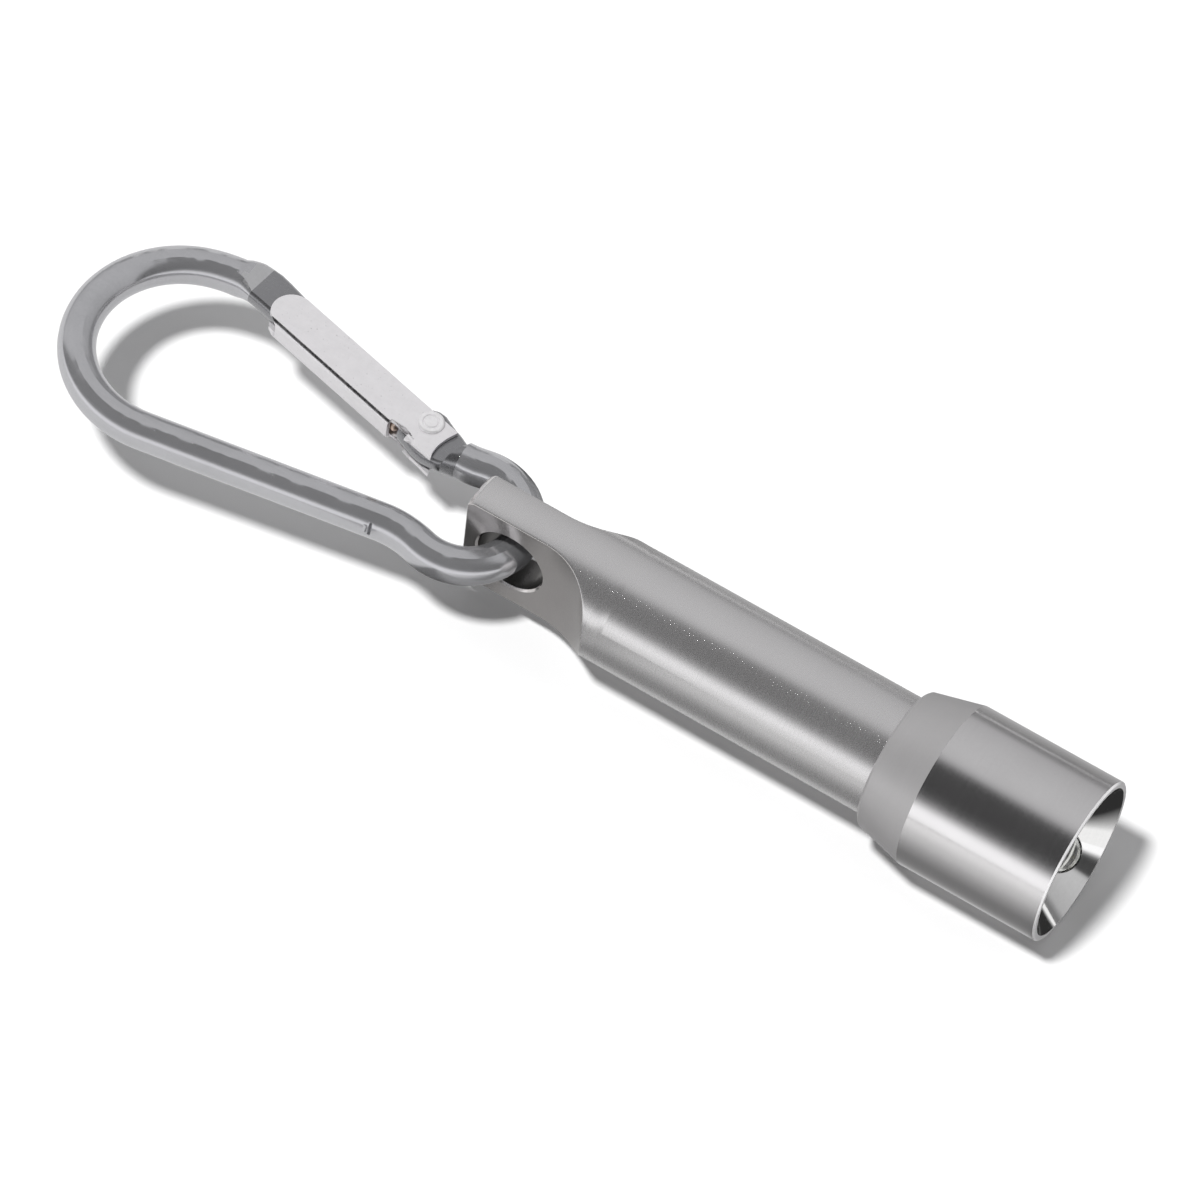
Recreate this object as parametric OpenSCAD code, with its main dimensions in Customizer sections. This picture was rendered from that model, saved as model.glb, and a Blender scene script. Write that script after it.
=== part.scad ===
// Keychain flashlight on a small carabiner.
// A turned aluminium torch with a milled hanging lug lies along X, tail towards -X,
// and a wire carabiner with a sprung gate hangs in the lug's cross hole.
// The origin is on the torch axis, at the middle of the barrel's plain cylinder.

/* [Barrel] */
// Length of the torch from tail to rim
torch_l = 76.2; // [74:0.1:80]
// Outer diameter of the barrel
barrel_d = 14.0; // [13.8:0.1:14.2]
// Thickness of the milled hanging lug
lug_t = 4.7; // [4:0.1:5.5]
// Diameter of the cross hole in the lug
lug_hole_d = 8.2; // [7.6:0.1:8.6]
// Distance from the tail to the middle of the cross hole
lug_hole_x = 5.8; // [5.4:0.1:6.2]
// Radius of the milling cutter that ends the lug's flats
cutter_r = 9.0; // [8:0.5:10]
// Distance from the tail to where the flats start to run out
flat_l = 10.0; // [9:0.5:11]
// Chamfer round the tail
tail_chamfer = 0.7; // [0.3:0.1:1]

/* [Battery] */
// Diameter of the battery bore
bore_d = 11.9; // [11.8:0.05:12]
// Diameter of one button cell
cell_d = 11.6; // [11.5:0.1:11.6]
// Height of one button cell
cell_h = 5.4; // [5.2:0.1:5.4]
// Room for the tail spring behind the cells
spring_room = 6.0; // [5:0.5:8]
// Turns of the tail spring
spring_turns = 4; // [3:1:5]

/* [Head] */
// Outer diameter of the head
head_d = 19.2; // [18.8:0.1:19.6]
// Diameter of the head at its rear edge
head_rear_d = 16.2; // [15.8:0.1:16.6]
// Distance from the tail to the rear edge of the head
head_x = 53.3; // [53:0.1:53.6]
// Distance from the tail to where the head's cylinder starts
shoulder_x = 59.3; // [58.8:0.1:59.8]
// Width of the flat land round the reflector's mouth
land_w = 0.5; // [0.3:0.1:0.7]
// Depth of the reflector cone
reflector_depth = 7.0; // [6.5:0.1:7.2]
// Diameter of the light emitting diode's lens
led_d = 5.0; // [4.8:0.1:5]
// Gap that the head's twist closes to switch on
contact_gap = 0.30; // [0.2:0.05:0.35]

/* [Carabiner] */
// Diameter of the wire
wire_d = 4.3; // [4:0.1:4.5]
// Radius of the big bow, to the wire's centre
bow_r = 11.9; // [11.5:0.1:12.3]
// Distance between the small bow's tip and the big bow's centre
bow_u = 43.4; // [42:0.2:45]
// Angle between a leg and the long axis
leg_angle = 11.3; // [10.5:0.1:12]
// Radius of the small bow, to the wire's centre
tip_r = 6.65; // [6.5:0.05:6.8]
// Radius of the waist, to the wire's centre
waist_r = 11.0; // [9:0.5:12]
// Tilt of the carabiner above the torch axis
swing_rest = 2.0; // [0:0.5:3]

/* [Gate] */
// Angle between the gate and the long axis
gate_angle = 12.5; // [12:0.1:13]
// Height of the folded gate channel
gate_h = 3.15; // [3.1:0.05:3.3]
// Thickness of the gate's sheet
sheet_t = 0.5; // [0.4:0.05:0.5]
// Width of the gate
gate_w = 4.9; // [4.8:0.1:5]
// Diameter of the rivet's shank
rivet_d = 2.0; // [1.8:0.1:2]

/* [Hidden] */

$fn = 96;

// Torch stations, measured from the tail along X
flat_end_x = flat_l + sqrt(pow(cutter_r, 2) - pow(cutter_r - (barrel_d - lug_t) / 2, 2));
origin_x = (flat_end_x + head_x) / 2;
rim_x = torch_l;
cone_floor_x = rim_x - reflector_depth;
led_seat_x = cone_floor_x - 0.8;
board_t = 1.0;
board_x = led_seat_x - 3.45;
ring_t = 0.15;
neck_end_x = board_x - ring_t - contact_gap;
cells_front_x = board_x - 0.75;
cells_rear_x = cells_front_x - 3 * cell_h;
bore_floor_x = cells_rear_x - spring_room;
neck_x = head_x + 4.9;
skirt_end_x = neck_x + 0.5;
pocket_x = neck_end_x + 0.4;
groove_x = head_x + 2.2;

// Torch radii
barrel_r = barrel_d / 2;
head_r = head_d / 2;
neck_r = barrel_r - 0.4;
thread_fit = 0.05;
skirt_r = barrel_r + 0.1;
groove_floor_r = barrel_r - 0.7;
groove_w = 1.0;
o_ring_r = 0.36;
pocket_r = 6.35;
board_r = pocket_r - 0.05;
rim_chamfer = 0.2;
mouth_r = head_r - rim_chamfer - land_w;
cone_floor_r = 2.9;
led_r = led_d / 2;
led_fit = 0.05;
flange_r = led_r + 0.4;
flange_t = 1.0;
dome_tip_x = rim_x - 0.2;
lead_y = 1.27;
lead_w = 0.5;
cup_r = 0.9;
cup_x = led_seat_x + 2.9;
cup_l = 1.1;
cup_floor = 0.6;
resistor = [0.55, 1.25, 2.0];
resistor_y = 2.4;

// Carabiner stations in its own plane: u runs from the small bow's tip along the
// long axis, v runs towards the gate and h is the height above the plane
tip_x = lug_hole_x - 0.5;
wire_r = wire_d / 2;
// Every second stretch of wire is this much slimmer and reaches into its neighbours
join_step = 0.01;
join_l = 0.2;
joining_r = wire_r - join_step;
leg_dir = [cos(leg_angle), sin(leg_angle)];
leg_out = [-sin(leg_angle), cos(leg_angle)];
leg_end = [bow_u, 0] + bow_r * leg_out;
waist_reach = leg_end + waist_r * leg_out - [tip_r, 0];
waist_along = waist_reach * leg_dir;
waist_back = waist_along - sqrt(
    pow(waist_along, 2) - waist_reach * waist_reach + pow(tip_r + waist_r, 2));
waist_c = leg_end + waist_r * leg_out - waist_back * leg_dir;
leg_start = waist_c - waist_r * leg_out;
tip_sweep = atan2(waist_c[1], waist_c[0] - tip_r);
hinge_step_angle = 270;
nose_arc_from = 70;
nose_arc_to = 98;
nose_arc_r = 16;
nose_arc_c = [bow_u, 0] - (nose_arc_r - bow_r) * [cos(nose_arc_from), sin(nose_arc_from)];

// Gate stations: s runs from the rivet to the nose and t points out of the carabiner
rivet_uv = [15.9, 7.1];
slab_t = 2.0;
ramp_low_s = 25.5;
ramp_high_s = 28.2;
ramp_room_s = 20;
plate_in_t = -3.56;
plate_end_s = -2.9;
nose_round_s = 20.75;
nose_round_r = gate_w / 2;
web_start_s = 2.6;
crimp_s = 15.0;
crimp_w = 0.5;
crimp_depth = 2.4;
plunger_t = -2.05;
plunger_r = 0.9;
plunger_s = 2.75;
plunger_head_l = 1.4;
plunger_stem_r = 0.45;
plunger_stem_l = 3.0;
gate_spring_r = 0.66;
gate_wire_r = 0.13;
rivet_head_r = 1.5;
rivet_head_t = 0.35;
rivet_fit = 0.05;

// Colours
torch_grey = [0.72, 0.71, 0.70];
wire_grey = [0.50, 0.51, 0.53];
gate_grey = [0.80, 0.79, 0.80];
steel_grey = [0.62, 0.63, 0.65];

// Places a node drawn from the tail so that the origin is on the barrel
module placed() {
    translate([-origin_x, 0, 0]) children();
}

// Places a node drawn in the carabiner's u, v and h
module on_carabiner() {
    placed() translate([tip_x, 0, 0]) rotate([0, swing_rest, 0]) mirror([1, 0, 0]) children();
}

// Places a node drawn in the gate's s, t and h
module on_gate() {
    on_carabiner() translate([rivet_uv[0], rivet_uv[1], 0]) rotate([0, 0, gate_angle]) children();
}

// A solid turned about X from an outline of [x, radius] points
module turned(outline) {
    rotate([0, 90, 0]) rotate_extrude() polygon([for (p = outline) [p[1], p[0]]]);
}

// A closed ring or disc about X
module disc(x0, x1, outer_r, inner_r = 0) {
    turned([[x0, inner_r], [x0, outer_r], [x1, outer_r], [x1, inner_r]]);
}

// A round wire wound about X between x0 and x1
module coil(x0, x1, mean_r, coil_wire_r, turns, steps_per_turn = 14, sides = 6) {
    steps = turns * steps_per_turn;
    travel = x1 - x0 - 2 * coil_wire_r;
    points = [
        for (i = [0 : steps], j = [0 : sides - 1])
            let (
                turn = 360 * i / steps_per_turn,
                around = 360 * j / sides,
                r = mean_r + coil_wire_r * cos(around),
                x = x0 + coil_wire_r + travel * i / steps + coil_wire_r * sin(around)
            )
            [x, r * cos(turn), r * sin(turn)]
    ];
    walls = [
        for (i = [0 : steps - 1], j = [0 : sides - 1])
            let (k = (j + 1) % sides)
            for (face = [
                [i * sides + j, (i + 1) * sides + j, i * sides + k],
                [i * sides + k, (i + 1) * sides + j, (i + 1) * sides + k]
            ]) face
    ];
    first_end = [for (j = [0 : sides - 1]) j];
    last_end = [for (j = [sides - 1 : -1 : 0]) steps * sides + j];
    polyhedron(points, concat(walls, [first_end, last_end]));
}

// Sweeps the milling cutter takes to leave the lug
module lug_cut() {
    for (side = [0, 1]) {
        mirror([0, side, 0]) translate([0, lug_t / 2, -barrel_d]) {
            linear_extrude(2 * barrel_d) {
                translate([-1, 0]) square([flat_l + 1, 2 * cutter_r]);
                translate([flat_l, cutter_r]) circle(r = cutter_r);
            }
        }
    }
}

// The torch body with its lug, its cell bore and its threaded neck
module barrel() {
    edge = 0.25;
    color(torch_grey) placed() difference() {
        turned([
            [0, 0], [0, barrel_r - tail_chamfer], [tail_chamfer, barrel_r],
            [groove_x, barrel_r], [groove_x, groove_floor_r],
            [groove_x + groove_w, groove_floor_r], [groove_x + groove_w, barrel_r],
            [neck_x, barrel_r], [neck_x, neck_r], [neck_end_x - edge, neck_r],
            [neck_end_x, neck_r - edge], [neck_end_x, bore_d / 2],
            [bore_floor_x, bore_d / 2], [bore_floor_x - 2, 0]
        ]);
        lug_cut();
        translate([lug_hole_x, 0, 0]) rotate([90, 0, 0]) {
            cylinder(d = lug_hole_d, h = barrel_d, center = true);
            for (end = [0, 1]) {
                mirror([0, 0, end]) translate([0, 0, lug_t / 2 - edge]) {
                    cylinder(h = 2 * edge, d1 = lug_hole_d, d2 = lug_hole_d + 4 * edge);
                }
            }
        }
    }
}

// Rubber seal in the barrel's groove
module o_ring() {
    seal_r = skirt_r - 0.05 - o_ring_r;
    color([0.08, 0.08, 0.08]) placed() translate([groove_x + groove_w / 2, 0, 0]) {
        rotate([0, 90, 0]) rotate_extrude() translate([seal_r, 0]) circle(r = o_ring_r, $fn = 32);
    }
}

// Spring that pushes the cells towards the head
module tail_spring() {
    color(steel_grey) placed() coil(bore_floor_x, cells_rear_x - 0.02, 4.2, 0.3, spring_turns);
}

// The positive can of a cell, with the recess for its gasket and cap
module cell_can(index) {
    rear_x = cells_rear_x + (index - 1) * cell_h;
    color([0.75, 0.76, 0.78]) placed() turned([
        [rear_x + 1.2, 0], [rear_x + 1.2, cell_d / 2 - 0.45],
        [rear_x + 0.3, cell_d / 2 - 0.45], [rear_x + 0.3, cell_d / 2 - 0.2],
        [rear_x + 0.5, cell_d / 2], [rear_x + cell_h - 0.2, cell_d / 2],
        [rear_x + cell_h, cell_d / 2 - 0.2], [rear_x + cell_h, 0]
    ]);
}

// The insulating gasket of a cell
module cell_gasket(index) {
    rear_x = cells_rear_x + (index - 1) * cell_h;
    color([0.15, 0.2, 0.3]) placed() {
        disc(rear_x + 0.35, rear_x + 1.2, cell_d / 2 - 0.45, cell_d / 2 - 0.8);
    }
}

// The negative cap of a cell
module cell_cap(index) {
    rear_x = cells_rear_x + (index - 1) * cell_h;
    rim_r = cell_d / 2 - 0.8;
    color([0.78, 0.78, 0.76]) placed() turned([
        [rear_x, 0], [rear_x, rim_r - 0.8], [rear_x + 0.3, rim_r - 0.6],
        [rear_x + 0.3, rim_r], [rear_x + 1.2, rim_r], [rear_x + 1.2, 0]
    ]);
}

module cell_1_can() { cell_can(1); }
module cell_2_can() { cell_can(2); }
module cell_3_can() { cell_can(3); }
module cell_1_gasket() { cell_gasket(1); }
module cell_2_gasket() { cell_gasket(2); }
module cell_3_gasket() { cell_gasket(3); }
module cell_1_cap() { cell_cap(1); }
module cell_2_cap() { cell_cap(2); }
module cell_3_cap() { cell_cap(3); }

// The screw-on head with the reflector turned into its front
module head_shell() {
    edge = 0.3;
    color(torch_grey) placed() turned([
        [head_x, skirt_r + edge / 2], [head_x, head_rear_d / 2 - edge],
        [head_x + edge, head_rear_d / 2], [shoulder_x, head_r],
        [rim_x - rim_chamfer, head_r], [rim_x, head_r - rim_chamfer],
        [rim_x, mouth_r], [cone_floor_x, cone_floor_r],
        [cone_floor_x, led_r + led_fit], [led_seat_x, led_r + led_fit],
        [led_seat_x, pocket_r], [pocket_x, pocket_r],
        [pocket_x, neck_r + thread_fit], [skirt_end_x, neck_r + thread_fit],
        [skirt_end_x, skirt_r], [head_x + edge / 2, skirt_r]
    ]);
}

// Plastic holder that carries the diode's flange from behind
module led_holder() {
    board_front_x = board_x + board_t;
    flange_x = led_seat_x - flange_t;
    color([0.12, 0.12, 0.12]) placed() turned([
        [board_front_x, 4.6], [board_front_x, board_r],
        [led_seat_x, board_r], [led_seat_x, flange_r + led_fit],
        [flange_x, flange_r + led_fit], [flange_x, 1.9],
        [flange_x - 0.5, 1.9], [flange_x - 0.5, 4.6]
    ]);
}

// Round circuit board
module led_board() {
    color([0.1, 0.35, 0.2]) placed() disc(board_x, board_x + board_t, board_r);
}

// Ring on the board that meets the barrel's rim when the head is tight
module contact_ring() {
    color([0.83, 0.66, 0.35]) placed() disc(board_x - ring_t, board_x, board_r, bore_d / 2 - 0.05);
}

// Centre contact that the front cell presses on
module centre_contact() {
    face_x = cells_front_x + 0.01;
    color([0.83, 0.66, 0.35]) placed() turned([
        [face_x, 0], [face_x, 1.3], [face_x + 0.15, 1.45], [board_x - 0.25, 1.45],
        [board_x - 0.25, 2.2], [board_x, 2.2], [board_x, 0]
    ]);
}

// Chip resistor on the board's front face
module board_resistor() {
    color([0.1, 0.1, 0.1]) placed() {
        translate([board_x + board_t, resistor_y, -resistor[2] / 2]) cube(resistor);
    }
}

// The two leads with the reflector cup, without the cup's hollow
module lead_frame() {
    board_front_x = board_x + board_t;
    translate([board_front_x, -lead_y - lead_w / 2, -lead_w / 2]) {
        cube([cup_x + cup_l - 0.2 - board_front_x, lead_w, lead_w]);
    }
    translate([board_front_x, lead_y - lead_w / 2, -lead_w / 2]) {
        cube([cup_x + 0.2 - board_front_x, lead_w, lead_w]);
    }
    translate([cup_x, -lead_w / 2, -lead_w / 2]) mirror([0, 1, 0]) {
        cube([0.4, lead_y - lead_w / 2, lead_w]);
    }
    disc(cup_x, cup_x + cup_l, cup_r);
}

// Leads and cup inside the diode, running back to the board
module led_leads() {
    color([0.75, 0.75, 0.72]) placed() difference() {
        lead_frame();
        turned([
            [cup_x + cup_floor, 0], [cup_x + cup_floor, 0.4],
            [cup_x + cup_l + 0.1, 0.82], [cup_x + cup_l + 0.1, 0]
        ]);
    }
}

// Emitting chip at the bottom of the cup
module led_chip() {
    color([0.95, 0.85, 0.3]) placed() translate([cup_x + cup_floor, -0.2, -0.2]) cube([0.2, 0.4, 0.4]);
}

// Clear lens of the diode
module led_lens() {
    flange_x = led_seat_x - flange_t;
    dome_x = dome_tip_x - led_r;
    color([0.9, 0.93, 0.95, 0.5]) placed() difference() {
        union() {
            disc(flange_x, led_seat_x, flange_r);
            disc(flange_x, dome_x, led_r);
            translate([dome_x, 0, 0]) rotate([0, 90, 0]) sphere(r = led_r);
        }
        lead_frame();
    }
}

// Solder on the board round each lead
module solder_joints() {
    board_front_x = board_x + board_t;
    color([0.8, 0.8, 0.82]) placed() difference() {
        for (side = [-1, 1]) {
            translate([board_front_x, side * lead_y, 0]) rotate([0, 90, 0]) {
                cylinder(r1 = 0.65, r2 = 0.4, h = 0.4, $fn = 48);
            }
        }
        lead_frame();
    }
}

// A bent stretch of wire round a centre in the carabiner's plane
module wire_arc(centre, r, from, to, section_r = wire_r) {
    translate([centre[0], centre[1], 0]) rotate([0, 0, from]) {
        rotate_extrude(angle = to - from) translate([r, 0]) circle(r = section_r, $fn = 64);
    }
}

// A bent stretch whose ends reach a little way into its neighbours
module joining_arc(centre, r, from, to) {
    reach = join_l / r * 180 / PI;
    wire_arc(centre, r, from - reach, to + reach, joining_r);
}

// Outline of the flattened hinge end, in u and v
module hinge_outline() {
    difference() {
        union() {
            translate(rivet_uv) circle(r = 2.6);
            polygon([
                [10.4, 4.4], [10.4, 7.4], [11.8, 7.8], [13.9, 8.8], [15.0, 9.5],
                rivet_uv, rivet_uv + [2.55, -0.4], [18.6, 4.4], [17.4, 3.9],
                [15.9, 3.3], [14.4, 3.1], [12.5, 3.4], [11.4, 4.0]
            ]);
        }
        translate(rivet_uv) circle(d = rivet_d + 2 * rivet_fit);
    }
}

// Outline of the flattened nose, in s and t
module nose_outline() {
    polygon([
        [18.8, -2.2], [18.8, 0.4], [19.3, 1.5], [26.0, 2.3], [27.2, 1.7],
        [27.6, -0.4], [26.3, -2.2], [24.6, -2.5], [22.5, -2.7], [19.2, -2.7]
    ]);
}

// The ramps that take the wire down to the flattened nose, in s and h
module nose_ramps() {
    for (face = [0, 1]) {
        mirror([0, 0, face]) rotate([90, 0, 0]) linear_extrude(2 * bow_r, center = true) {
            polygon([
                [ramp_room_s, slab_t / 2], [ramp_low_s, slab_t / 2],
                [ramp_high_s, wire_r + 0.05], [ramp_high_s, 2 * wire_r],
                [ramp_room_s, 2 * wire_r]
            ]);
        }
    }
}

// The bent wire with its flattened hinge end and nose
module carabiner_body() {
    leg_l = norm(leg_end - leg_start);
    color(wire_grey) on_carabiner() {
        wire_arc([bow_u, 0], bow_r, -90 - leg_angle, nose_arc_from);
        mirror([0, 1, 0]) {
            translate([leg_start[0], leg_start[1], 0]) rotate([0, 90, leg_angle]) {
                translate([0, 0, -join_l]) cylinder(r = joining_r, h = leg_l + 2 * join_l, $fn = 64);
            }
            wire_arc(waist_c, waist_r, tip_sweep + 180, 270 + leg_angle);
        }
        joining_arc([tip_r, 0], tip_r, tip_sweep, 360 - tip_sweep);
        wire_arc(waist_c, waist_r, tip_sweep + 180, hinge_step_angle);
        translate([0, 0, -slab_t / 2]) linear_extrude(slab_t) hinge_outline();
        difference() {
            joining_arc(nose_arc_c, nose_arc_r, nose_arc_from, nose_arc_to);
            translate([rivet_uv[0], rivet_uv[1], 0]) rotate([0, 0, gate_angle]) nose_ramps();
        }
        translate([rivet_uv[0], rivet_uv[1], -slab_t / 2]) rotate([0, 0, gate_angle]) {
            linear_extrude(slab_t) nose_outline();
        }
    }
}

// Folded sheet gate: two plates joined by a web on the inner side
module gate_channel() {
    web_h = gate_h - 2 * sheet_t;
    color(gate_grey) on_gate() {
        difference() {
            union() {
                for (plate_h = [-gate_h / 2, gate_h / 2 - sheet_t]) {
                    translate([0, 0, plate_h]) linear_extrude(sheet_t) {
                        translate([plate_end_s, plate_in_t]) {
                            square([nose_round_s - plate_end_s, gate_w]);
                        }
                        translate([nose_round_s, plate_in_t + nose_round_r]) {
                            circle(r = nose_round_r);
                        }
                    }
                }
            }
            cylinder(d = rivet_d, h = 2 * gate_h, center = true);
        }
        translate([web_start_s, plate_in_t, -web_h / 2]) {
            cube([nose_round_s - web_start_s, sheet_t, web_h]);
        }
        translate([crimp_s, plate_in_t, -web_h / 2]) cube([crimp_w, crimp_depth, web_h]);
    }
}

// Rivet that the gate turns on
module gate_rivet() {
    color(gate_grey) on_gate() {
        cylinder(d = rivet_d, h = gate_h, center = true);
        for (end = [0, 1]) {
            mirror([0, 0, end]) translate([0, 0, gate_h / 2]) {
                cylinder(r1 = rivet_head_r, r2 = rivet_head_r - 0.15, h = rivet_head_t);
            }
        }
    }
}

// Plunger that rides on the corner of the hinge end and closes the gate
module gate_plunger() {
    color([0.75, 0.66, 0.6]) on_gate() translate([0, plunger_t, 0]) {
        disc(plunger_s, plunger_s + plunger_head_l, plunger_r);
        disc(plunger_s, plunger_s + plunger_head_l + plunger_stem_l, plunger_stem_r);
    }
}

// Spring behind the plunger
module gate_spring() {
    rear_s = plunger_s + plunger_head_l;
    color(steel_grey) on_gate() translate([0, plunger_t, 0]) {
        coil(rear_s + 0.02, crimp_s - 0.02, gate_spring_r, gate_wire_r, 14, 10, 5);
    }
}

barrel();
o_ring();
tail_spring();
cell_1_can();
cell_1_gasket();
cell_1_cap();
cell_2_can();
cell_2_gasket();
cell_2_cap();
cell_3_can();
cell_3_gasket();
cell_3_cap();
head_shell();
led_holder();
led_board();
contact_ring();
centre_contact();
board_resistor();
led_lens();
led_leads();
led_chip();
solder_joints();
carabiner_body();
gate_channel();
gate_rivet();
gate_plunger();
gate_spring();
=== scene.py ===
"""Looks of a keychain flashlight on a small carabiner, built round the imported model."""
import math

import bmesh
import bpy
from mathutils import Matrix, Vector


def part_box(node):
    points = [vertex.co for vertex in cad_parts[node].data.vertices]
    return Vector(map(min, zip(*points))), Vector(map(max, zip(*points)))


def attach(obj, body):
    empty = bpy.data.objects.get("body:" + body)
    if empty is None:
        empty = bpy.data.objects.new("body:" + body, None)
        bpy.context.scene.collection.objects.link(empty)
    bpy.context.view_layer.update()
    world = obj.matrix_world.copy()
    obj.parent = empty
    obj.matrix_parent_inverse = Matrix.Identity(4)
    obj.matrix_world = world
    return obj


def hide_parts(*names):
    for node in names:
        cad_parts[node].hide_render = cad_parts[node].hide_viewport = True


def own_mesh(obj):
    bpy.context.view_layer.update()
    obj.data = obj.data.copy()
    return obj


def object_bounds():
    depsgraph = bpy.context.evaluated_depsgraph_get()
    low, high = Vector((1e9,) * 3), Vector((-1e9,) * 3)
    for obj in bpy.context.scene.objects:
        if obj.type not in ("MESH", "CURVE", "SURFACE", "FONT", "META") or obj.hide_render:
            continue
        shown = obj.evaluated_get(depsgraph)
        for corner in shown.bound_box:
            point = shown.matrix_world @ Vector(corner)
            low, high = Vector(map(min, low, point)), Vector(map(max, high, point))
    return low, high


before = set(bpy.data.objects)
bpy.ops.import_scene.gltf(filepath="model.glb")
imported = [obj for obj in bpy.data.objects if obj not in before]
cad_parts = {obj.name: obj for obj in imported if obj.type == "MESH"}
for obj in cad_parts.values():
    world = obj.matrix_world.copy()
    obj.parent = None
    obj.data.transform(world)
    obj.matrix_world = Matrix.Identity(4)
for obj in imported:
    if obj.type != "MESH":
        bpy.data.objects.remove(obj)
cad_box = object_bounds()

MM = 0.001
TURN = 2 * math.pi

# ---------------------------------------------------------------- sizes, in mm


def low(node):
    """Lowest corner of a CAD node, in mm."""
    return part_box(node)[0] / MM


def high(node):
    """Highest corner of a CAD node, in mm."""
    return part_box(node)[1] / MM


# Torch
TAIL = low("barrel").x
NECK_END = high("barrel").x
HEAD_REAR = low("head_shell").x
RIM = high("head_shell").x
HEAD_R = high("head_shell").z
BARREL_R = high("barrel").z
BORE_R = 5.95
LUG_T = 4.7
LUG_L = 10.0
CUTTER_R = 9.0
HOLE_D = 8.2
HOLE_X = TAIL + 5.8
TAIL_CHAMFER = 0.7
NECK_X = HEAD_REAR + 4.9
NECK_R = BARREL_R - 0.4
GROOVE_X = HEAD_REAR + 2.2
GROOVE_W = 1.0
GROOVE_R = BARREL_R - 0.7
THREAD_DEPTH = 0.38
THREAD_PITCH = 1.0
THREAD_FIT = 0.05
SHOULDER_X = HEAD_REAR + 6.0
HEAD_REAR_R = 8.1
REFLECTOR_DEPTH = 7.0
CONE_FLOOR_R = 2.9
LAND_W = 0.5
RIM_CHAMFER = 0.2
LED_R = 2.5
LED_SEAT = RIM - REFLECTOR_DEPTH - 0.8
BORE_FLOOR = low("tail_spring").x
CELLS_REAR = low("cell_1_cap").x

# Carabiner, in its own plane: u along the long axis from the small bow's tip,
# v towards the gate and h above the plane
WIRE_R = 2.15
TIP_X = TAIL + 5.3
TILT = math.radians(2.0)
BOW_R = 11.9
BOW_U = 43.4
LEG_ANGLE = math.radians(11.3)
TIP_R = 6.65
WAIST_R = 11.0
NOSE_R = 16.0
NOSE_FROM = math.radians(70)
NOSE_TO = math.radians(82)

# Gate: s from the rivet to the nose, t out of the carabiner
RIVET_U, RIVET_V = 15.9, 7.1
GATE_ANGLE = math.radians(12.5)
GATE_H = 3.15
SHEET_T = 0.5
PLATE_IN = -3.56
PLATE_OUT = 1.34
NOSE_ROUND_S = 20.75
NOSE_ROUND_R = 2.45
PLUNGER_T = -2.05
WEB_START = 3.2
NOTCH_START = 0.6
HINGE_END = -2.6
SPRING_REAR = 4.17
SPRING_SEAT = 14.98

# Rivet and the bore that it turns in
RIVET_SHANK_R = 1.0
RIVET_BORE_R = 1.05
RIVET_HEAD_R = 1.5
RIVET_HEAD_H = 0.35

# Stake mark on the long leg: the wire's centre there, and how far round it from the top
STAKE_AT = (14.1, -6.28)
STAKE_ROUND = 70

# ------------------------------------------------------------------- materials


class Nodes:
    """A material's node tree with short calls to add and join nodes."""

    def __init__(self, name):
        self.material = bpy.data.materials.new(name)
        self.material.use_nodes = True
        self.tree = self.material.node_tree
        self.shader = self.tree.nodes["Principled BSDF"]
        place = self.tree.nodes.new("ShaderNodeTexCoord")
        self.place = place.outputs["Object"]

    def add(self, kind, inputs=(), **settings):
        node = self.tree.nodes.new(kind)
        for key, value in settings.items():
            setattr(node, key, value)
        for key, value in dict(inputs).items():
            if isinstance(value, bpy.types.NodeSocket):
                self.tree.links.new(value, node.inputs[key])
            else:
                node.inputs[key].default_value = value
        return node

    def stretched(self, scale):
        """Object coordinates, scaled by (x, y, z)."""
        return self.add("ShaderNodeMapping", {"Vector": self.place, "Scale": scale}).outputs[0]

    def noise(self, scale, detail=3.0, roughness=0.5, vector=None):
        """Noise from 0 to 1 with features of about 1/scale metres."""
        inputs = {"Vector": vector or self.place, "Scale": scale, "Detail": detail,
                  "Roughness": roughness}
        return self.add("ShaderNodeTexNoise", inputs).outputs["Fac"]

    def spread(self, value, to_low, to_high, from_low=0.3, from_high=0.7):
        """A value moved from one range to another."""
        inputs = {"Value": value, "From Min": from_low, "From Max": from_high,
                  "To Min": to_low, "To Max": to_high}
        return self.add("ShaderNodeMapRange", inputs).outputs["Result"]

    def maths(self, operation, a, b=0.0):
        node = self.add("ShaderNodeMath", operation=operation)
        for socket, value in zip(node.inputs, (a, b)):
            if isinstance(value, bpy.types.NodeSocket):
                self.tree.links.new(value, socket)
            else:
                socket.default_value = value
        return node.outputs[0]

    def mixed(self, factor, first, second):
        """A colour between two colours."""
        node = self.add("ShaderNodeMix", data_type="RGBA")
        sockets = {"Factor": factor, "A": first, "B": second}
        for socket in node.inputs:
            value = sockets.get(socket.name)
            if value is None or socket.type != ("VALUE" if socket.name == "Factor" else "RGBA"):
                continue
            if isinstance(value, bpy.types.NodeSocket):
                self.tree.links.new(value, socket)
            elif socket.type == "RGBA":
                socket.default_value = (*value, 1.0)
            else:
                socket.default_value = value
        return [o for o in node.outputs if o.type == "RGBA"][0]

    def bumped(self, height, distance, normal=None):
        inputs = {"Height": height, "Distance": distance, "Strength": 1.0}
        if normal is not None:
            inputs["Normal"] = normal
        return self.add("ShaderNodeBump", inputs).outputs["Normal"]

    def finish(self, colour=None, roughness=None, normal=None, **constants):
        for key, value in (("Base Color", colour), ("Roughness", roughness), ("Normal", normal)):
            if value is not None:
                self.tree.links.new(value, self.shader.inputs[key])
        for key, value in constants.items():
            self.shader.inputs[key.replace("_", " ")].default_value = value
        return self.material


def tone(colour, factor):
    """A colour made darker or lighter."""
    return tuple(min(c * factor, 1.0) for c in colour)


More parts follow.
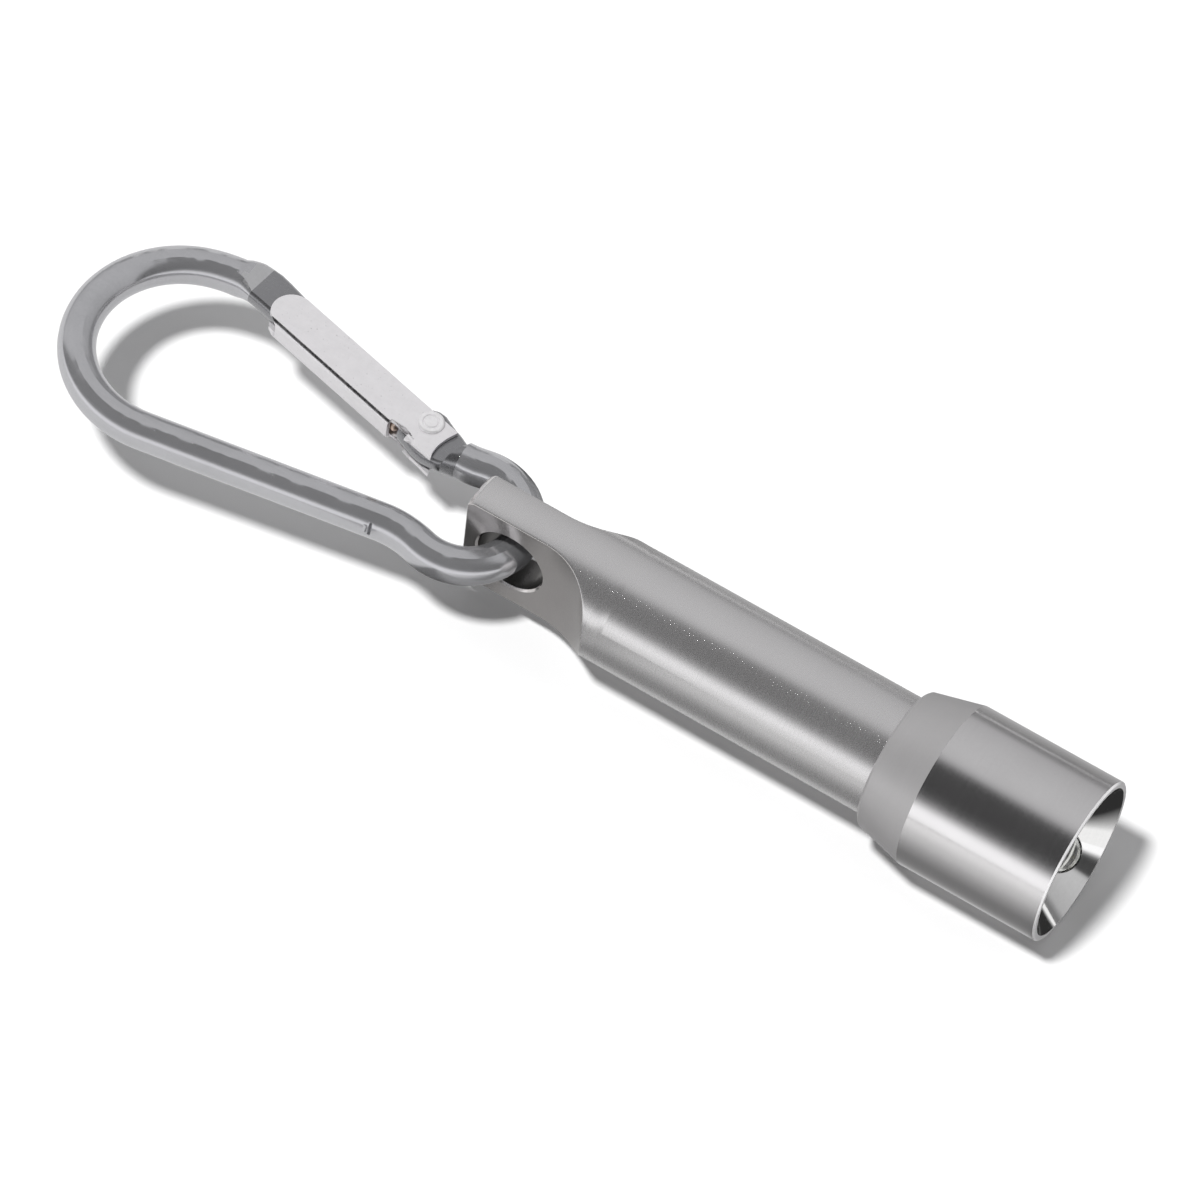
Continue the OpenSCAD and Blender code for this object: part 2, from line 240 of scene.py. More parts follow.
def metal(name, colour, roughness, variation=0.05, grain=5200, grain_depth=0.5,
          lines=(1, 1, 1), line_scale=1800, line_depth=0.3, patch_scale=170, patch=0.05,
          metallic=1.0, pits=0.0, **constants):
    """Metal with a fine grain, marks drawn out along one way, patchy tone and uneven polish.
    Depths are in thousandths of a millimetre, and pits is how dark its small pits are."""
    n = Nodes(name)
    patches = n.noise(patch_scale, 4.0, 0.6)
    speckle = n.noise(grain, 2.0, 0.6)
    marks = n.noise(line_scale, 3.0, 0.65, n.stretched(lines))
    shade = n.maths("ADD", n.maths("MULTIPLY", patches, 0.4), n.maths("MULTIPLY", marks, 0.3))
    shade = n.maths("ADD", shade, n.maths("MULTIPLY", speckle, 0.3))
    hue = n.mixed(n.spread(shade, 0.0, 1.0), tone(colour, 1 - patch), tone(colour, 1 + patch))
    polish = n.maths("ADD", n.maths("MULTIPLY", marks, 0.5), n.maths("MULTIPLY", speckle, 0.5))
    rough = n.spread(polish, roughness - variation, roughness + variation)
    normal = n.bumped(marks, line_depth * MM * MM)
    normal = n.bumped(speckle, grain_depth * MM * MM, normal)
    if pits:
        dots = n.noise(3600, 1.0, 0.4)
        hollow = n.spread(dots, 0.0, 1.0, 0.71, 0.80)
        hue = n.mixed(n.maths("MULTIPLY", hollow, pits), hue, tone(colour, 0.25))
        normal = n.bumped(n.maths("SUBTRACT", 1.0, hollow), 0.012 * MM, normal)
    return n.finish(hue, rough, normal, Metallic=metallic, **constants)


def plain(name, colour, roughness, grain=2500, grain_depth=4.0, patch=0.12, variation=0.08,
          **constants):
    """A non-metal with a moulded grain and patchy tone. Depth is in thousandths of a mm."""
    n = Nodes(name)
    patches = n.noise(350, 4.0, 0.6)
    speckle = n.noise(grain, 3.0, 0.6)
    hue = n.mixed(n.spread(patches, 0.0, 1.0), tone(colour, 1 - patch), tone(colour, 1 + patch))
    rough = n.spread(speckle, roughness - variation, roughness + variation)
    return n.finish(hue, rough, n.bumped(speckle, grain_depth * MM * MM), **constants)


ALONG_X = (0.02, 1, 1)
ROUND_X = (1, 0.02, 0.02)

barrel_metal = metal("barrel_satin", (0.72, 0.708, 0.712), 0.27, metallic=0.88, grain=4200,
                     grain_depth=0.2, patch=0.035, lines=ROUND_X, line_scale=5200, line_depth=0.3,
                     Anisotropic=0.3)
head_metal = metal("head_satin", (0.83, 0.815, 0.82), 0.19, grain=4200, grain_depth=0.4,
                   lines=ROUND_X, line_scale=5600, line_depth=0.25, Anisotropic=0.3)
shoulder_metal = metal("shoulder_matt", (0.39, 0.382, 0.385), 0.40, metallic=0.42, grain=3000,
                       grain_depth=1.2, lines=ROUND_X, line_scale=5600, line_depth=0.4)
milled_metal = metal("milled_flat", (0.70, 0.675, 0.665), 0.17, metallic=0.96, grain=3600,
                     grain_depth=0.7, lines=(1, 1, 0.06), line_scale=3800, line_depth=0.9,
                     patch=0.08)
# The hole's wall is painted near black: painted shade inside the drilled hole
hole_wall_painted_shade = metal("drilled_wall_painted_shade", (0.20, 0.195, 0.19), 0.30, lines=(1, 0.05, 1),
                      line_scale=3800, line_depth=1.0)
rim_metal = metal("rim_land", (0.90, 0.89, 0.895), 0.30, metallic=0.35, grain_depth=0.3,
                  lines=ROUND_X, line_scale=4200)
reflector_metal = metal("reflector_polish", (0.90, 0.895, 0.89), 0.07, variation=0.02,
                        grain=2600, grain_depth=0.15, lines=ROUND_X, line_scale=4200,
                        line_depth=0.3)
wire_metal = metal("wire_polish", (0.54, 0.54, 0.558), 0.17, variation=0.04, metallic=0.80,
                   grain=3000, grain_depth=0.4, lines=ALONG_X, line_scale=2600, line_depth=0.5,
                   patch=0.07)
pressed_metal = metal("pressed_wire_end", (0.34, 0.34, 0.352), 0.24, variation=0.08,
                      metallic=0.90, grain=2400, grain_depth=1.2, lines=(0.05, 1, 1),
                      line_scale=2600, line_depth=1.2, patch=0.10)
ramp_metal = metal("filed_ramp", (0.56, 0.56, 0.57), 0.36, variation=0.08, metallic=0.75,
                   grain=2600, grain_depth=1.0, lines=(1, 0.12, 1), line_scale=2600,
                   line_depth=5.0, patch=0.12)
sheet_metal = metal("gate_sheet", (0.80, 0.785, 0.80), 0.42, variation=0.10, metallic=0.55,
                    grain=2200, grain_depth=3.0, lines=(0.15, 1, 1), line_scale=1500,
                    line_depth=2.0, patch_scale=700, patch=0.06, pits=0.3)
# Darker strip along the sheet's inner bends: painted shade in the crease of the fold
fold_painted_shade = metal("gate_fold_painted_shade", (0.50, 0.49, 0.50), 0.30, variation=0.10, grain=1800,
                   grain_depth=3.0, patch_scale=900, patch=0.35)
rivet_metal = metal("rivet_head", (0.84, 0.83, 0.84), 0.32, metallic=0.55, grain=3000,
                    grain_depth=2.5, patch_scale=900, patch=0.08, pits=0.3)
spring_metal = metal("spring_wire", (0.60, 0.61, 0.63), 0.24, lines=ALONG_X)
plunger_metal = metal("plunger_turned", (0.78, 0.62, 0.52), 0.34, grain=2600, grain_depth=1.0)
nickel = metal("cell_nickel", (0.76, 0.77, 0.79), 0.16, patch_scale=400)
cap_steel = metal("cell_cap", (0.74, 0.74, 0.72), 0.30, grain=3500, grain_depth=1.0)
gilt = metal("gilt_contact", (0.86, 0.66, 0.33), 0.22)
lead_silver = metal("silver_leads", (0.82, 0.81, 0.78), 0.28, grain_depth=1.0)
solder_metal = metal("solder", (0.74, 0.74, 0.76), 0.25, patch_scale=900, patch=0.1)
rubber = plain("seal_rubber", (0.025, 0.025, 0.026), 0.55)
nylon = plain("gasket_nylon", (0.10, 0.14, 0.24), 0.45)
holder_plastic = plain("holder_moulding", (0.045, 0.045, 0.047), 0.42)
laminate = plain("board_laminate", (0.03, 0.20, 0.09), 0.30, grain=1800, grain_depth=6.0)
ceramic = plain("resistor_body", (0.04, 0.04, 0.045), 0.50)
phosphor = plain("phosphor", (0.90, 0.78, 0.16), 0.70)


def clear_epoxy():
    """Water-clear epoxy with the faintest ripple and a slight warm tint."""
    n = Nodes("clear_epoxy")
    ripple = n.noise(420, 2.0, 0.5)
    hue = n.mixed(n.spread(ripple, 0.0, 1.0), (0.965, 0.975, 0.955), (0.99, 0.995, 0.98))
    rough = n.spread(ripple, 0.015, 0.045)
    return n.finish(hue, rough, n.bumped(ripple, 0.6 * MM * MM), Transmission_Weight=1.0,
                    IOR=1.52)


lens_material = clear_epoxy()

# ------------------------------------------------------------------ mesh tools


def mesh_object(name, points, faces, materials, smooth_angle=35.0):
    """A mesh object from points in mm, with outward normals and crisp edges."""
    mesh = bpy.data.meshes.new(name)
    mesh.from_pydata([Vector(p) * MM for p in points], [], faces)
    work = bmesh.new()
    work.from_mesh(mesh)
    bmesh.ops.remove_doubles(work, verts=work.verts, dist=1e-7)
    bmesh.ops.recalc_face_normals(work, faces=work.faces)
    work.to_mesh(mesh)
    work.free()
    for material in materials:
        mesh.materials.append(material)
    thing = bpy.data.objects.new(name, mesh)
    bpy.context.scene.collection.objects.link(thing)
    smooth(thing, smooth_angle)
    return thing


def smooth(thing, angle):
    """Smooth shading with edges sharper than the angle kept crisp."""
    for face in thing.data.polygons:
        face.use_smooth = True
    thing.data.set_sharp_from_angle(angle=math.radians(angle))


def fit(thing, body, slot, *replaced):
    """Puts a finished piece on its body in place of its CAD nodes; the slot is not used."""
    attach(thing, body)
    if replaced:
        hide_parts(*replaced)
    return thing


def baked(thing, weighted=True):
    """The object with its modifiers applied, and with its flat faces shaded flat."""
    if weighted:
        modifier = thing.modifiers.new("weights", "WEIGHTED_NORMAL")
        modifier.keep_sharp = True
        modifier.weight = 80
    depsgraph = bpy.context.evaluated_depsgraph_get()
    mesh = bpy.data.meshes.new_from_object(thing.evaluated_get(depsgraph), depsgraph=depsgraph,
                                           preserve_all_data_layers=True)
    thing.modifiers.clear()
    thing.data = mesh
    return thing


def cut(thing, cutter, operation="DIFFERENCE"):
    """Cuts one object out of another, or joins the two, and removes the cutter."""
    modifier = thing.modifiers.new("cut", "BOOLEAN")
    modifier.operation = operation
    modifier.solver = "EXACT"
    modifier.object = cutter
    baked(thing, weighted=False)
    bpy.data.objects.remove(cutter)
    return thing


def rounded_edges(thing, width, angle=40.0, segments=3):
    """Small rounds along every edge sharper than the angle."""
    modifier = thing.modifiers.new("rounds", "BEVEL")
    modifier.width = width * MM
    modifier.segments = segments
    modifier.limit_method = "ANGLE"
    modifier.angle_limit = math.radians(angle)
    modifier.harden_normals = False
    return baked(thing, weighted=False)


def bridge(rings, closed=False):
    """Quads between rings of equal length; closed joins the last ring to the first."""
    count = len(rings[0])
    faces = []
    spans = len(rings) if closed else len(rings) - 1
    for i in range(spans):
        a, b = i * count, (i + 1) % len(rings) * count
        for j in range(count):
            k = (j + 1) % count
            faces.append((a + j, a + k, b + k, b + j))
    return [p for ring in rings for p in ring], faces


def capped(rings):
    """A tube of rings closed with a fan at each end."""
    points, faces = bridge(rings)
    count = len(rings[0])
    for ring, first in ((rings[0], 0), (rings[-1], (len(rings) - 1) * count)):
        points.append(sum((Vector(p) for p in ring), Vector()) / count)
        middle = len(points) - 1
        faces += [(first + j, first + (j + 1) % count, middle) for j in range(count)]
    return points, faces


def filleted(outline, steps=4):
    """Points (x, r) of an outline whose corners (x, r, radius) are rounded."""
    out = []
    for i, corner in enumerate(outline):
        here = Vector(corner[:2])
        radius = corner[2] if len(corner) > 2 else 0.0
        if radius == 0.0:
            out.append(here)
            continue
        before = (Vector(outline[i - 1][:2]) - here).normalized()
        after = (Vector(outline[(i + 1) % len(outline)][:2]) - here).normalized()
        half = before.angle(after) / 2
        reach = radius / math.tan(half)
        first, last = here + before * reach, here + after * reach
        centre = here + (before + after).normalized() * radius / math.sin(half)
        start = first - centre
        sweep = start.angle_signed(last - centre)
        for k in range(steps + 1):
            turned = -sweep * k / steps
            out.append(centre + Matrix.Rotation(turned, 2) @ start)
    return out


def lathe(name, outline, material, steps=128, angle=35.0):
    """A solid turned about X from a closed outline of (x, r, corner radius)."""
    profile = filleted(outline)
    rings = []
    for j in range(steps):
        c, s = math.cos(TURN * j / steps), math.sin(TURN * j / steps)
        rings.append([(p.x, p.y * c, p.y * s) for p in profile])
    points, faces = bridge(rings, closed=True)
    return mesh_object(name, points, faces, [material], angle)


def tube(route, radius, sides=12, taper=0):
    """Rings of a round wire along a route of points, with flat, slightly rounded ends."""
    rings = []
    count = len(route)
    for i, p in enumerate(route):
        ahead = Vector(route[min(i + 1, count - 1)]) - Vector(route[max(i - 1, 0)])
        ahead.normalize()
        side = ahead.cross(Vector((1, 0, 0)))
        if side.length < 0.1:
            side = ahead.cross(Vector((0, 0, 1)))
        side.normalize()
        up = ahead.cross(side)
        end = min(i, count - 1 - i)
        r = radius * min(1.0, 0.55 + 0.45 * end / taper) if taper else radius
        rings.append([Vector(p) + r * (math.cos(TURN * k / sides) * side
                                       + math.sin(TURN * k / sides) * up)
                      for k in range(sides)])
    return rings


# ---------------------------------------------------------------------- barrel


def barrel_ring(x, radius, half_width, spread=0.0, edge=0.12):
    """Ring round the barrel: a circle cut off at y = +-half_width, with soft corners.
    Where nothing is cut off, spread is the half-angle that the flat's points keep."""
    flat_steps, arc_steps = 4, 14
    is_cut = half_width < radius
    corner = math.acos(half_width / radius) if is_cut else spread
    half_flat = radius * math.sin(corner)
    reach = min(edge, 0.35 * half_flat)
    quarter = []
    for k in range(flat_steps + 1):
        z = (half_flat - reach) * k / flat_steps
        angle = (corner - reach / radius) * k / flat_steps
        quarter.append((half_width, z) if is_cut
                       else (radius * math.cos(angle), radius * math.sin(angle)))
    after = corner + reach / radius
    start = Vector(quarter[-1])
    peak = Vector((radius * math.cos(corner), radius * math.sin(corner)))
    end = Vector((radius * math.cos(after), radius * math.sin(after)))
    for t in (1 / 3, 2 / 3):
        quarter.append(tuple((1 - t) ** 2 * start + 2 * t * (1 - t) * peak + t * t * end))
    for k in range(arc_steps + 1):
        angle = after + (math.pi / 2 - after) * k / arc_steps
        quarter.append((radius * math.cos(angle), radius * math.sin(angle)))
    first = quarter[:-1]
    second = [(-y, z) for y, z in reversed(quarter)][:-1]
    third = [(-y, -z) for y, z in quarter][:-1]
    fourth = [(y, -z) for y, z in reversed(quarter)][:-1]
    return [(x, y, z) for y, z in first + second + third + fourth]


def make_barrel():
    """The torch body: lug with concave cutter run-outs, plain barrel, neck and bore."""
    edge = 0.12
    half = LUG_T / 2
    rings = []
    for k in range(4):
        turned = math.pi / 2 * k / 3
        inset = edge * (1 - math.sin(turned))
        x = TAIL + edge * (1 - math.cos(turned))
        radius = BARREL_R - TAIL_CHAMFER - inset + (x - TAIL)
        rings.append(barrel_ring(x, radius, half - inset))
    for x, radius in ((0.45, BARREL_R - 0.25), (0.62, BARREL_R - 0.09), (0.8, BARREL_R - 0.01),
                      (1.0, BARREL_R), (3.4, BARREL_R), (5.8, BARREL_R), (8.2, BARREL_R),
                      (9.9, BARREL_R)):
        rings.append(barrel_ring(TAIL + x, radius, half))
    lug_z = math.sqrt(BARREL_R ** 2 - half ** 2)
    steps = 34
    for k in range(1, steps):
        z = lug_z * math.cos(math.pi / 2 * k / steps)
        width = math.sqrt(BARREL_R ** 2 - z ** 2)
        along = math.sqrt(CUTTER_R ** 2 - (CUTTER_R - (width - half)) ** 2)
        rings.append(barrel_ring(TAIL + LUG_L + along, BARREL_R, width))
    full = BARREL_R - half
    plain_x = TAIL + LUG_L + math.sqrt(CUTTER_R ** 2 - (CUTTER_R - full) ** 2)
    wide = math.radians(24)
    for along, share in ((0.0, 0.02), (0.15, 0.15), (0.5, 0.4), (1.1, 0.7), (2.0, 1.0)):
        rings.append(barrel_ring(plain_x + along, BARREL_R, BARREL_R, wide * share))
    core = NECK_R - THREAD_DEPTH
    turned = filleted([
        (plain_x + 2.1, BARREL_R), (GROOVE_X, BARREL_R, 0.1), (GROOVE_X, GROOVE_R, 0.1),
        (GROOVE_X + GROOVE_W, GROOVE_R, 0.1), (GROOVE_X + GROOVE_W, BARREL_R, 0.1),
        (NECK_X, BARREL_R, 0.1), (NECK_X, core, 0.1), (NECK_END - 0.25, core, 0.05),
        (NECK_END, core - 0.2, 0.05), (NECK_END, BORE_R, 0.02), (BORE_FLOOR, BORE_R, 0.15),
        (BORE_FLOOR - 2.0, 0.02)
    ], 3)
    rings += [barrel_ring(p.x, p.y, p.y, wide) for p in turned]
    points, faces = capped(rings)
    barrel = mesh_object("barrel_body", points, faces,
                         [barrel_metal, milled_metal, hole_wall_painted_shade], 32)
    soft = 0.25
    hole = lathe("hole_cutter", [
        (-half - 2, 0.0), (-half - 2, HOLE_D / 2 + soft + 1.9), (-half, HOLE_D / 2 + soft, 0.12),
        (-half + soft, HOLE_D / 2, 0.2), (half - soft, HOLE_D / 2, 0.2),
        (half, HOLE_D / 2 + soft, 0.12), (half + 2, HOLE_D / 2 + soft + 1.9), (half + 2, 0.0)
    ], milled_metal, steps=96)
    hole.data.transform(Matrix.Translation((HOLE_X * MM, 0, 0))
                        @ Matrix.Rotation(math.pi / 2, 4, "Z"))
    cut(barrel, hole)
    for face in barrel.data.polygons:
        # Faces in the hole take the painted-shade wall, faces on the lug's flats the milled
        # finish, and the rest the satin finish
        x, y, z = face.center / MM
        in_hole = math.hypot(x - HOLE_X, z) < HOLE_D / 2 + 0.05 and abs(y) < half - soft
        on_flat = TAIL + 0.1 < x < plain_x and abs(face.normal.z) < 0.7
        on_flat = on_flat and math.hypot(y, z) < BARREL_R - 0.03
        face.material_index = 2 if in_hole else 1 if on_flat else 0
    smooth(barrel, 32)
    baked(barrel)
    return fit(barrel, "barrel", "satin_aluminium", "barrel")


def make_thread(name, body, x_from, x_to, root_r, crest_r, shift, material):
    """A right-hand screw ridge between two radii, faded out at both ends."""
    turns = (x_to - x_from) / THREAD_PITCH
    steps = int(turns * 48)
    base, top = 0.40 * THREAD_PITCH, 0.10 * THREAD_PITCH
    sink = 0.06 if crest_r > root_r else -0.06
    rings = []
    for i in range(steps + 1):
        angle = TURN * turns * i / steps
        x = x_from + THREAD_PITCH * angle / TURN
        fade = max(0.05, min(1.0, i / 24, (steps - i) / 24))
        crest = root_r + (crest_r - root_r) * fade
        section = [(-base, root_r - sink), (-base, root_r), (-top, crest), (top, crest),
                   (base, root_r), (base, root_r - sink)]
        c, s = math.cos(angle + shift), math.sin(angle + shift)
        rings.append([(x + dx, r * c, r * s) for dx, r in section])
    points, faces = bridge(rings)
    count = len(rings[0])
    faces.append(tuple(range(count)))
    faces.append(tuple(steps * count + j for j in range(count)))
    thread = mesh_object(name, points, faces, [material], 30)
    return fit(thread, body, "satin_aluminium")


def make_coil(name, start, end, mean_r, wire_r, turns, material, sides=10, per_turn=28):
    """A round wire wound about X, with closed end turns."""
    total = turns + 2.0
    steps = int(total * per_turn)
    pitch = (end - start - 4 * wire_r) / turns
    route = []
    for i in range(steps + 1):
        turn = total * i / steps
        open_turns = min(max(turn - 1.0, 0.0), turns)
        closed = min(turn, 1.0) + max(turn - 1.0 - turns, 0.0)
        x = start + wire_r + wire_r * closed + pitch * open_turns
        route.append((x, mean_r * math.cos(TURN * turn), mean_r * math.sin(TURN * turn)))
    points, faces = capped(tube(route, wire_r, sides, taper=3))
    return mesh_object(name, points, faces, [material], 50)


# ------------------------------------------------------------------------ head


def make_head():
    """The head's shell, turned outside and polished in the reflector cone."""
    pocket_r = 6.35
    skirt_r = BARREL_R + 0.1
    thread_r = NECK_R + THREAD_FIT
    mouth_r = HEAD_R - RIM_CHAMFER - LAND_W
    floor_x = RIM - REFLECTOR_DEPTH
    led_hole = LED_R + 0.05
    shell = lathe("head_shell_body", [
        (HEAD_REAR, skirt_r + 0.15, 0.05), (HEAD_REAR, HEAD_REAR_R - 0.25, 0.12),
        (HEAD_REAR + 0.3, HEAD_REAR_R + 0.07, 0.2), (SHOULDER_X, HEAD_R, 0.12),
        (RIM - RIM_CHAMFER, HEAD_R, 0.06), (RIM, HEAD_R - RIM_CHAMFER, 0.06),
        (RIM, mouth_r, 0.05), (floor_x, CONE_FLOOR_R, 0.08), (floor_x, led_hole, 0.04),
        (LED_SEAT, led_hole, 0.05), (LED_SEAT, pocket_r, 0.05),
        (NECK_END + 0.4, pocket_r, 0.05), (NECK_END + 0.4, thread_r, 0.05),
        (NECK_X + 0.5, thread_r, 0.05), (NECK_X + 0.5, skirt_r, 0.05),
        (HEAD_REAR + 0.15, skirt_r, 0.05)
    ], head_metal, steps=160, angle=20)
    shell.data.materials.append(reflector_metal)
    shell.data.materials.append(shoulder_metal)
    shell.data.materials.append(rim_metal)
    for face in shell.data.polygons:
        x, y, z = face.center / MM
        inner = math.hypot(y, z) < mouth_r + 0.02 and x > LED_SEAT + 0.1
        on_shoulder = x < SHOULDER_X - 0.05 and math.hypot(y, z) > HEAD_REAR_R - 0.2
        on_land = x > RIM - RIM_CHAMFER and math.hypot(y, z) > mouth_r - 0.02
        face.material_index = 3 if on_land else 1 if inner else 2 if on_shoulder else 0
    baked(shell)
    return fit(shell, "head", "satin_aluminium", "head_shell")


def make_lens():
    """The diode's clear body: a flange, a cylinder and a round dome."""
    flange_r = LED_R + 0.4
    rear = LED_SEAT - 1.0
    dome_x = RIM - 0.2 - LED_R
    outline = [(rear, 0.001), (rear, flange_r, 0.12), (LED_SEAT, flange_r, 0.12),
               (LED_SEAT, LED_R, 0.06)]
    steps = 20
    outline += [(dome_x + LED_R * math.sin(math.pi / 2 * k / steps),
                 max(LED_R * math.cos(math.pi / 2 * k / steps), 0.001))
                for k in range(steps + 1)]
    lens = lathe("led_lens_body", outline, lens_material, steps=96, angle=40)
    return fit(lens, "head", "clear_epoxy", "led_lens")


# ------------------------------------------------------------------- carabiner


def world_from_plane():
    """Takes the carabiner's (u, v, h) to the row frame, in mm."""
    return (Matrix.Translation((TIP_X, 0, 0)) @ Matrix.Rotation(TILT, 4, "Y")
            @ Matrix.Scale(-1, 4, (1, 0, 0)))


def world_from_gate():
    """Takes the gate's (s, t, h) to the row frame, in mm."""
    return (world_from_plane() @ Matrix.Translation((RIVET_U, RIVET_V, 0))
            @ Matrix.Rotation(GATE_ANGLE, 4, "Z"))


def plane_from_gate(s, t):
    """Takes the gate's (s, t) to the carabiner's (u, v)."""
    c, n = math.cos(GATE_ANGLE), math.sin(GATE_ANGLE)
    return RIVET_U + s * c - t * n, RIVET_V + s * n + t * c


def put(points, matrix):
    """Points moved by a matrix."""
    return [matrix @ Vector(p) for p in points]


def wire_section(inner, outer, half_h, edge_r, spread=0.0):
    """Section of the wire between two edge points (u, v): round where half_h reaches
    edge_r, otherwise flat above and below between bulged edges."""
    flat_steps, arc_steps = 6, 12
    inner, outer = Vector(inner), Vector(outer)
    middle, half_w = (inner + outer) / 2, (outer - inner).length / 2
    across = (outer - inner).normalized()
    if half_h < edge_r:
        corner = math.asin(half_h / edge_r)
        flat = half_w - edge_r + edge_r * math.cos(corner)
        shift = half_w - edge_r
    else:
        corner = math.pi / 2 - spread
        flat = half_w * math.cos(corner)
        shift = 0.0
        edge_r = half_w
    soft = min(0.12, 0.5 * flat)
    side = []
    for k in range(arc_steps + 1):
        angle = -corner + 2 * corner * k / arc_steps
        h = edge_r * math.sin(angle) * (half_h / edge_r if half_h >= edge_r else 1.0)
        side.append((shift + edge_r * math.cos(angle), h))
    top = []
    for k in range(1, flat_steps):
        w = flat - 2 * flat * k / flat_steps
        if half_h < edge_r:
            top.append((w * (1 - soft / max(flat, 0.2) * 0.3), half_h))
        else:
            top.append((w, half_h * math.sqrt(max(1 - (w / half_w) ** 2, 0.0))))
    loop = side + top + [(-w, -h) for w, h in side] + [(-w, -h) for w, h in top]
    return [(middle.x + across.x * w, middle.y + across.y * w, h) for w, h in loop]


def arc_points(centre, radius, start, end, step=0.55):
    """Centre points and outward normals along an arc, about step mm apart."""
    count = max(2, int(abs(end - start) * radius / step))
    out = []
    for k in range(count + 1):
        angle = start + (end - start) * k / count
        normal = Vector((math.cos(angle), math.sin(angle)))
        out.append((Vector(centre) + radius * normal, normal))
    return out


def wire_route():
    """The wire's centre line from the hinge end round both bows to the nose: points with
    the normal that points out of the carabiner's loop."""
    direction = Vector((math.cos(LEG_ANGLE), math.sin(LEG_ANGLE)))
    outward = Vector((-math.sin(LEG_ANGLE), math.cos(LEG_ANGLE)))
    leg_end = Vector((BOW_U, 0)) + BOW_R * outward
    reach = leg_end + WAIST_R * outward - Vector((TIP_R, 0))
    along = reach.dot(direction)
    back = along - math.sqrt(along ** 2 - reach.dot(reach) + (TIP_R + WAIST_R) ** 2)
    waist = leg_end + WAIST_R * outward - back * direction
    leg_start = waist - WAIST_R * outward
    sweep = math.atan2(waist.y, waist.x - TIP_R)
    route = [(p, -n) for p, n in arc_points(waist, WAIST_R, math.radians(270), sweep + math.pi)]
    route += arc_points((TIP_R, 0), TIP_R, sweep, TURN - sweep)[1:]
    low_waist = Vector((waist.x, -waist.y))
    route += [(p, -n) for p, n in arc_points(low_waist, WAIST_R, math.pi - sweep,
                                             math.pi / 2 - LEG_ANGLE)][1:]
    first, last = Vector((leg_start.x, -leg_start.y)), Vector((leg_end.x, -leg_end.y))
    normal = Vector((outward.x, -outward.y))
    leg_steps = 30
    route += [(first.lerp(last, k / leg_steps), normal) for k in range(1, leg_steps)]
    route += arc_points((BOW_U, 0), BOW_R, -math.pi / 2 - LEG_ANGLE, NOSE_FROM)
    nose = Vector((BOW_U, 0)) - (NOSE_R - BOW_R) * Vector((math.cos(NOSE_FROM),
                                                          math.sin(NOSE_FROM)))
    route += arc_points(nose, NOSE_R, NOSE_FROM, NOSE_TO)[1:]
    return route


def wire_mark(centre, outward, around):
    """Frame on the wire's surface: x along the wire, y round it and z out of it."""
    turn = math.radians(around)
    along = Vector((-outward.y, outward.x, 0))
    out = Vector((outward.x * math.sin(turn), outward.y * math.sin(turn), math.cos(turn)))
    return (world_from_plane() @ Matrix.Translation(Vector((*centre, 0)) + WIRE_R * out)
            @ Matrix((along, out.cross(along), out)).transposed().to_4x4())


def ridge(name, frame_at, x_from, x_top, x_to, half_y, bottom, top, material):
    """A prism across the wire with a triangular section, on a mark's frame."""
    section = ((x_from, bottom), (x_top, top), (x_to, bottom))
    corners = [(x, y, z) for y in (-half_y, half_y) for x, z in section]
    faces = [(0, 1, 2), (3, 5, 4), (0, 3, 4, 1), (1, 4, 5, 2), (2, 5, 3, 0)]
    return mesh_object(name, put(corners, frame_at), faces, [material], 25)


